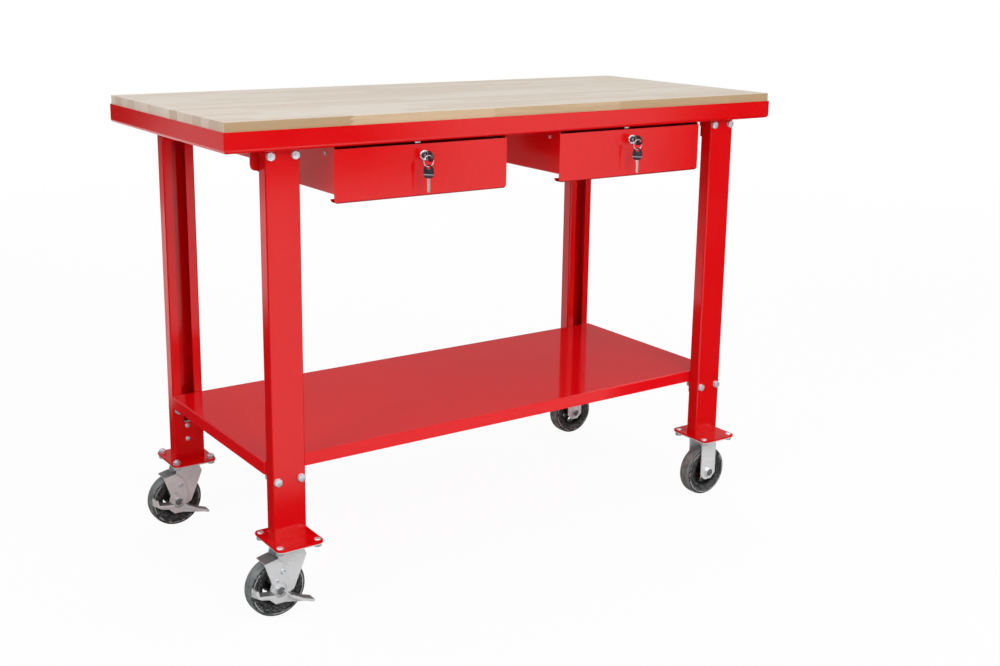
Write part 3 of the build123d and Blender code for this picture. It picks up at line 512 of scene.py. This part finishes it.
def galvanised(name, colour, roughness=0.32):
    """Galvanised sheet: spangles a few millimetres across, each with its own tone and gloss."""
    metal = Finish(name, {"Metallic": 0.2})
    spangle = metal.node("TexVoronoi", {}, {"Vector": metal.place, "Scale": spangle_cells}, output=1)
    grey = metal.node("RGBToBW", {}, {0: spangle})
    clouds = metal.noise(34, 3)
    grit = metal.noise(1500, 2)
    metal.tone = metal.mix(metal.ramp(grey * 0.5 + clouds * 0.7, 0.3, 0.9), colour,
                           darker(colour, 0.91))
    metal.feed(base_color=metal.tone,
               roughness=metal.ramp(grey, 0.1, 0.9, roughness, roughness + 0.14),
               normal=metal.bump(grit + grey * 0.6, spangle_depth))
    return metal


zinc = galvanised("zinc_steel", shade(212, 212, 210))
dress("clamp_plates", zinc)


# ---- Lower shelf ---------------------------------------------------------------------------------
# One folded tray of 1.5 mm sheet with a hem below, bolted between the legs. Its coat is the
# smoothest of all, so it mirrors the legs.
# Painted light: a lighter red than the frame's, making up for the light the shelf lacks under the
# worktop.
shelf_lightened_red = shade(236, 10, 20)

dress("lower_shelf", powder_coat("red_shelf", shelf_lightened_red, 0.07, 0.00002, 1.42))


# ---- Drawers -------------------------------------------------------------------------------------
# Each drawer hangs in a folded case: a flat front with a finger pull bent back along its foot, and
# an open tray behind it. The coat is coarser than the frame's, and the bend at the foot is painted
# darker in place of the dark floor it reflects.
drawer_colour, bend_shade_colour = shade(224, 4, 8), shade(150, 0, 4)
bend_low, bend_high = 0.0012, 0.0042

drawer_coat = powder_coat("red_drawer", drawer_colour, 0.11, 0.00005)
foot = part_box("drawer_front_left")[0][2]
# Painted reflection: a dark band along the bend at the foot, standing in for the dark floor it
# mirrors.
bend_shade = drawer_coat.ramp(drawer_coat.z, foot + bend_high, foot + bend_low)
drawer_coat.feed(base_color=drawer_coat.mix(bend_shade, drawer_coat.tone, bend_shade_colour))
for side in ("left", "right"):
    dress(f"drawer_case_{side} drawer_front_{side} drawer_tray_{side}", drawer_coat)


# ---- Keepers -------------------------------------------------------------------------------------
# A small zinc-plated tab is riveted under the rim's flange above each lock, and the cam turns up
# behind it. Only its face shows in the gap over the drawer front.
keeper_width, keeper_drop, keeper_thick = 0.014, 0.0038, 0.002
keeper_offset = -0.013
keeper_inset = 0.0055


def pad(half_long, half_wide, height, power=8.0, turns=40, layers=8):
    """A low cushion on a superellipse: each ring shrinks as a quarter circle rises to height."""
    angle = np.linspace(0, 2 * np.pi, turns, endpoint=False)
    cos, sin = np.cos(angle), np.sin(angle)
    x = half_long * np.sign(cos) * np.abs(cos) ** (2 / power)
    y = half_wide * np.sign(sin) * np.abs(sin) ** (2 / power)
    lift = np.linspace(0, np.pi / 2, layers)
    inward = 1 - (1 - np.cos(lift)) * min(1, height * 1.2 / half_wide)
    inward = np.append(inward, 0)
    rise = np.append(np.sin(lift) * height, height)
    grid = np.stack([inward[:, None] * x, inward[:, None] * y,
                     np.repeat(rise[:, None], turns, 1)], -1)
    base = np.zeros((1, turns, 3))
    return skin(np.concatenate([base, grid]))


def laid(shell, place, along, across, up):
    """A shell whose X, Y and Z point along three given directions of the bench."""
    points, quads = shell
    return points @ np.array([along, across, up], float) + np.array(place), quads


front_low, front_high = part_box("drawer_front_left")
drawer_x = abs(front_low[0] + front_high[0]) / 2
drawer_face = front_low[1]
keepers = []
for side in (-1, 1):
    place = (side * drawer_x + keeper_offset, drawer_face + keeper_inset,
             rim_bottom - keeper_drop / 2)
    keepers += [laid(pad(keeper_width / 2, keeper_drop / 2, keeper_thick), place,
                     (1, 0, 0), (0, 0, 1), (0, -1, 0))]
make_piece("lock_keepers", keepers, bright, "root")


# ---- Drawer slides and screws --------------------------------------------------------------------
# Telescopic slides of three galvanised members run in each other beside the trays. Screws fix
# the outer members to the cases, and wood screws hold the slab from below.
dress("slides_outer slide_middle_left slide_middle_right slide_inner_left slide_inner_right", zinc)
dress("case_screws worktop_screws", bright)


# ---- Locks ---------------------------------------------------------------------------------------
# A cam lock through each drawer front: a chromed barrel with a domed bezel, held by a nut behind,
# and a plug that turns a zinc-plated cam.
bezel_inner, bezel_outer, bezel_rise = 0.0073, 0.0114, 0.0031

chrome = zinc_plating("lock_chrome", shade(228, 229, 233), 0.07, 0.9)
plug_steel = zinc_plating("plug_steel", shade(96, 90, 112), 0.2, 0.7)
lock_low, lock_high = (Vector(corner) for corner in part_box("lock_barrel_left"))
lock_z = (lock_low.z + lock_high.z) / 2
bezel_round = [(bezel_inner + (bezel_outer - bezel_inner) * (1 - math.cos(a)) / 2,
                bezel_rise * math.sin(a) ** 0.6) for a in np.linspace(0.001, math.pi - 0.001, 14)]
for side, sign in (("left", -1), ("right", 1)):
    dress(f"lock_barrel_{side}", chrome)
    dress(f"lock_plug_{side}", plug_steel)
    dress(f"lock_cam_{side}", bright)
    make_piece(f"lock_bezel_{side}",
               [stand(turned(bezel_round, ends_meet=True),
                      (sign * drawer_x, drawer_face, lock_z), "y", -1)],
               chrome, f"drawer_{side}")


# ---- Keys and rings ------------------------------------------------------------------------------
# Two keys to a lock: one stands in the plug and one hangs from its ring. A black moulded head with
# a recessed face and a pale stripe is cast over a nickelled steel blade with cut bits.
key_hole_radius, key_hole_edge = 0.0039, 0.0052
head_half_long, head_half_wide, head_thick, head_taper = 0.0144, 0.0116, 0.0032, 0.1
head_middle = key_hole_edge - head_half_long
blade_root, blade_tip = -0.0215, -0.0538
blade_half_wide, blade_thick = 0.0034, 0.0019
stripe_place, stripe_half = -0.0158, 0.0009
bit_depths = (0.2, 1.5, 0.6, 1.9, 0.9, 1.6, 0.5, 2.6)
key_black, key_scuffed, stripe_colour = shade(40, 40, 44), shade(66, 66, 70), shade(186, 188, 196)


def key_head():
    """The head: rings of points run round the hole and go from its edge over one face, round the
    tapered superellipse outline and back over the other face; the face sinks between its edges."""
    angle = np.linspace(0, 2 * np.pi, 72, endpoint=False)
    cos, sin = np.cos(angle), np.sin(angle)
    wide = head_half_wide * (1 - head_taper * cos)
    outline = np.stack([head_middle + head_half_long * np.sign(cos) * np.abs(cos) ** 0.76,
                        wide * np.sign(sin) * np.abs(sin) ** 0.72], -1)
    hole = key_hole_radius * np.stack([cos, sin], -1)
    half = [(0, 0.6), (0.06, 1), (0.2, 1), (0.25, 0.74), (0.8, 0.74), (0.85, 1), (0.95, 1), (1, 0.55)]
    share, side = np.array(half + [(s, -t) for s, t in reversed(half)]).T
    flat = hole + share[:, None, None] * (outline - hole)
    rise = np.repeat((side * head_thick / 2)[:, None, None], len(angle), 1)
    return skin(np.concatenate([flat, rise], -1), ends_meet=True)


def key_blade():
    """The blade: rectangular rings along it, whose lower edge steps in by the bits' depths."""
    along = np.linspace(blade_root, blade_tip, 70)
    bits = np.interp(along, np.linspace(blade_tip, blade_root - 0.006, len(bit_depths)),
                     np.array(bit_depths)[::-1] / 1000)
    corners = [(-1, -1), (-1, 1), (0, 0.55), (1, 1), (1, -1), (0, -0.55)]
    rings = []
    for wide, thick in corners:
        edge = blade_half_wide * wide + np.where(wide < 0, bits, 0)
        rings.append(np.stack([along, edge, np.full_like(along, thick * blade_thick / 2)], -1))
    grid = np.stack(rings, 1)
    ends = grid[[0, -1]].mean(1, keepdims=True).repeat(len(corners), 1)
    return skin(np.concatenate([ends[:1], grid, ends[1:]]))


def key_plastic(name, axis, place):
    """Black moulding, a little scuffed, with a pale stripe across it at a place along one axis."""
    plastic = Finish(name, {"IOR": 1.48})
    along = {"y": plastic.y, "z": plastic.z}[axis]
    stripe = plastic.ramp(abs(along - place), stripe_half, stripe_half * 0.6)
    scuffs = plastic.noise(1400, 3)
    dark = plastic.mix(plastic.ramp(scuffs, 0.4, 0.8), key_black, key_scuffed)
    plastic.feed(base_color=plastic.mix(stripe, dark, stripe_colour),
                 roughness=plastic.ramp(scuffs, 0.3, 0.7, 0.28, 0.42),
                 normal=plastic.bump(scuffs, 0.00002))
    return plastic


steel = zinc_plating("key_steel", shade(226, 218, 208), 0.18)
hang_low, hang_high = (Vector(corner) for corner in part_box("spare_key_left"))
hang_z = hang_high.z - key_hole_edge
in_lock_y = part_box("key_left")[0][1] + key_hole_edge
standing_plastic = key_plastic("key_black_standing", "y", in_lock_y - stripe_place)
hanging_plastic = key_plastic("key_black_hanging", "z", hang_z + stripe_place)
slant = math.sqrt(0.5)
for side, sign in (("left", -1), ("right", 1)):
    hang_low, hang_high = (Vector(corner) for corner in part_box(f"spare_key_{side}"))
    standing = ((sign * drawer_x, in_lock_y, lock_z), (0, -1, 0), (0, 0, -1), (1, 0, 0))
    hanging = (((hang_low.x + hang_high.x) / 2, (hang_low.y + hang_high.y) / 2, hang_z),
               (0, 0, 1), (slant, -slant, 0), (-slant, -slant, 0))
    keys = ((f"key_{side}", f"lock_{side}", standing, standing_plastic),
            (f"spare_key_{side}", f"spare_{side}", hanging, hanging_plastic))
    for node, body, pose, plastic in keys:
        head = make_piece(f"{node}_head", [laid(key_head(), *pose)], plastic, body)
        blade = make_piece(f"{node}_blade", [laid(key_blade(), *pose)], steel, body)
        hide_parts(node)
        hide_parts(node)
    dress(f"key_ring_{side}", bright)


# ---- Caster bolts --------------------------------------------------------------------------------
# Four M10 bolts hold each caster's plate to its foot plate: low round heads on top at the front,
# hex heads from below with nuts on top at the rear.
bolt_across, bolt_along = 0.044, 0.048
button_radius, button_rise = 0.0075, 0.003
plate_sheet = 0.0035
bolt_tail, bolt_thread = 0.0005, 0.003
foot_half = 0.064

foot_low, foot_high = (Vector(corner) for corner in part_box("foot_plates"))
caster_y = foot_high.y - foot_half
foot_top = foot_high.z
plate_bottom = foot_low.z - plate_sheet
button = [(button_radius * math.cos(a), button_rise * math.sin(a) ** 0.7)
          for a in np.linspace(math.pi / 2, 0, 9)] + [(0, 0)]
caster_bolts, caster_nuts = [], []
for x_side in (-1, 1):
    for across in (-bolt_across, bolt_across):
        for along in (-bolt_along, bolt_along):
            x = x_side * leg_x + across
            front, rear = -caster_y + along, caster_y + along
            caster_bolts += [
                stand(turned(button), (x, front, foot_top)),
                stand(shank(bolt_radius, plate_bottom - nut_height - bolt_tail, foot_top),
                      (x, front, 0)),
                stand(hexagon(bolt_flats, bolt_head), (x, rear, plate_bottom), "z", -1),
                stand(shank(bolt_radius, -foot_top - nut_height - bolt_thread, -plate_bottom),
                      (x, rear, 0), "z", -1)]
            caster_nuts += [stand(hexagon(bolt_flats, nut_height), (x, front, plate_bottom), "z", -1),
                            stand(hexagon(bolt_flats, nut_height), (x, rear, foot_top))]
piece = make_piece("caster_bolt_set", caster_bolts, bright, "root")
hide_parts("caster_bolts")
piece = make_piece("caster_nut_set", caster_nuts, bright, "root")
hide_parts("caster_nuts")


# ---- Swivel plates and forks ---------------------------------------------------------------------
# Pressed zinc-plated steel: a top plate with a dished race, and a fork whose cup holds the balls
# under it. The fixed forks are straight straps welded to their plates.
race_profile = [(0.0285, 0.1642), (0.0345, 0.1636), (0.0362, 0.1616), (0.0358, 0.1594),
                (0.0335, 0.1581), (0.0285, 0.1580)]

fork_zinc = galvanised("fork_zinc", shade(240, 242, 243), 0.3)
dress("swivel_plates rigid_forks swivel_fork_front_left swivel_fork_rear_left", fork_zinc)
make_piece("swivel_races",
           [stand(turned(race_profile, turns=64, ends_meet=True), (-leg_x, y, 0))
            for y in (-caster_y, caster_y)],
           fork_zinc, "root")


# ---- Brakes --------------------------------------------------------------------------------------
# A lever of heavy sheet beside each swivel fork: a shoe lies over the tread, a hollow rivet is its
# pivot, and a pedal at either end presses it on or lets it off. Its faces that look up are darker.
pivot_x, pivot_z = 0.007, 0.0415
dimple_x, dimple_z = -0.006, 0.023
blade_face = 0.0283
rivet_profile = [(0.0026, 0.0), (0.0026, 0.0014), (0.0036, 0.0019), (0.0052, 0.0016),
                 (0.0062, 0.0007), (0.0064, 0.0)]
dimple_radius, dimple_rise = 0.0038, 0.0012
upward_grey = shade(112, 112, 112)

dimple = [(dimple_radius * math.cos(a), dimple_rise * math.sin(a))
          for a in np.linspace(math.pi / 2, 0, 7)] + [(0, 0)]
brake_zinc = galvanised("brake_zinc", shade(236, 238, 239), 0.3)
# Faces that look up are turned a darker grey.
upward = brake_zinc.ramp(brake_zinc.facing(2), 0.45, 0.8)
brake_zinc.feed(base_color=brake_zinc.mix(upward, brake_zinc.tone, upward_grey))
tyre_low, tyre_high = (Vector(corner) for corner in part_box("tyre_front_left"))
axle_x = (tyre_low.x + tyre_high.x) / 2
axle_z = (tyre_low.z + tyre_high.z) / 2
for end, y in (("front", -caster_y), ("rear", caster_y)):
    dress(f"brake_{end}_left", brake_zinc)
    face = y - blade_face
    make_piece(f"brake_rivet_{end}",
               [stand(turned(rivet_profile, ends_meet=True),
                      (axle_x + pivot_x, face, axle_z + pivot_z), "y", -1),
                stand(turned(dimple), (axle_x + dimple_x, face, axle_z + dimple_z), "y", -1)],
               bright, f"brake_{end}_left")


# ---- Axles ---------------------------------------------------------------------------------------
# A 12 mm bolt through each fork, with a chamfered head outside and a collared lock nut inside.
polished = zinc_plating("polished_zinc", shade(236, 237, 240), 0.12, 0.85)
axle_flats, axle_head, axle_nut = 0.018, 0.007, 0.009
axle_radius, axle_tail = 0.006, 0.0015
fork_half = 0.025
collar = [(axle_radius, 0.0), (axle_radius, 0.0102), (0.0074, 0.0104), (0.0080, 0.0094),
          (0.0080, 0.0)]


def axle_shells(x, y):
    """The bolt's head, its shank and the nut with its collar."""
    front, rear = (x, y - fork_half, axle_z), (x, y + fork_half, axle_z)
    return [stand(hexagon(axle_flats, axle_head), front, "y", -1),
            stand(shank(axle_radius, -2 * fork_half - axle_nut - axle_tail, 0), front, "y", -1),
            stand(hexagon(axle_flats, axle_nut), rear, "y", 1),
            stand(turned(collar, ends_meet=True), rear, "y", 1)]


for end, y in (("front", -caster_y), ("rear", caster_y)):
    piece = make_piece(f"axle_bolt_{end}", axle_shells(axle_x, y), polished,
                       f"swivel_{end}_left")
    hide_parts(f"axle_{end}_left")
piece = make_piece("axle_bolts_fixed", axle_shells(leg_x, -caster_y) + axle_shells(leg_x, caster_y),
                   polished, "root")
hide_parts("rigid_axles")


# ---- Wheels --------------------------------------------------------------------------------------
# Solid grey rubber moulded on a black spoked hub. The sidewalls are mottled and bulge a little,
# with a step where they meet the hub's lip; the tread is worn paler and has a seam in the middle.
tread_pale, tread_deep = shade(138, 143, 143), shade(104, 108, 108)
wall_pale, wall_deep = shade(98, 100, 100), shade(42, 43, 44)
ridge_highlight_colour, ridge_radius, ridge_half = shade(214, 214, 214), 0.0582, 0.0011
shoulder, rim_scuffed = (0.0615, 0.0645), (0.037, 0.042)
mottle_cells = 210
tyre_half_profile = [(0.0496, 0.0142), (0.0506, 0.0158), (0.0526, 0.0163), (0.0532, 0.0176),
                     (0.0566, 0.0180), (0.0598, 0.0178), (0.0622, 0.0168), (0.0640, 0.0150),
                     (0.0652, 0.0122), (0.0658, 0.0085), (0.0659, 0.0012), (0.0660, 0.0005)]
lip_profile = [(0.0462, 0.0143), (0.0468, 0.0154), (0.0484, 0.0160), (0.0497, 0.0154),
               (0.0500, 0.0143)]


def off_axle(finish, x):
    """How far a place lies from the axle at x."""
    return ((finish.x - x) ** 2 + (finish.z - axle_z) ** 2) ** 0.5


def rubber(name, x):
    """Mottled grey rubber round an axle at x: paler beyond the shoulders, with a painted highlight
    ring.
    """
    compound = Finish(name, {"IOR": 1.45})
    reach = off_axle(compound, x)
    mottle = compound.noise(mottle_cells, 3)
    smear = compound.noise(60, 3)
    wall = compound.mix(compound.ramp(mottle, 0.44, 0.6), wall_deep, wall_pale)
    tread = compound.mix(compound.ramp(smear, 0.3, 0.7), tread_pale, tread_deep)
    # Painted highlight: a thin bright ring on the sidewall, as if a moulded ridge caught the light.
    ridge_highlight = (compound.ramp(abs(reach - ridge_radius), ridge_half, ridge_half * 0.5)
             * compound.ramp(smear, 0.4, 0.5))
    body = compound.mix(compound.ramp(reach, *shoulder), wall, tread)
    compound.feed(base_color=compound.mix(ridge_highlight * 0.8, body, ridge_highlight_colour),
                  roughness=compound.ramp(mottle, 0.3, 0.7, 0.48, 0.66),
                  normal=compound.bump(mottle, 0.0003))
    return compound


def cast_hub(name, x):
    """Black paint over a cast hub on an axle at x: glossy, pitted, and scuffed grey on the rim."""
    paint = Finish(name, {"IOR": 1.5})
    pits = paint.noise(700, 3)
    black = paint.mix(paint.ramp(pits, 0.4, 0.75), shade(16, 16, 17), shade(44, 44, 45))
    grey = paint.mix(paint.ramp(paint.noise(mottle_cells, 3), 0.42, 0.6),
                     shade(40, 41, 42), shade(86, 87, 87))
    paint.feed(base_color=paint.mix(paint.ramp(off_axle(paint, x), *rim_scuffed), black, grey),
               roughness=paint.ramp(pits, 0.3, 0.7, 0.26, 0.4), normal=paint.bump(pits, 0.0001))
    return paint


tyre_profile = tyre_half_profile + [(r, -h) for r, h in reversed(tyre_half_profile)]
for along, x in (("left", axle_x), ("right", leg_x)):
    compound = rubber(f"tyre_rubber_{along}", x)
    hub_paint = cast_hub(f"hub_black_{along}", x)
    for end, y in (("front", -caster_y), ("rear", caster_y)):
        wheel = f"wheel_{end}_{along}"
        dress(f"wheel_hub_{end}_{along}", hub_paint)
        piece = make_piece(f"tyre_skin_{end}_{along}",
                           [stand(turned(tyre_profile, turns=96, ends_meet=True),
                                  (x, y, axle_z), "y")],
                           compound, wheel, 50)
        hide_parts(f"tyre_{end}_{along}")
        make_piece(f"hub_lips_{end}_{along}",
                   [stand(turned(lip_profile, turns=96, ends_meet=True), (x, y, axle_z), "y", side)
                    for side in (-1, 1)],
                   hub_paint, wheel, 50)
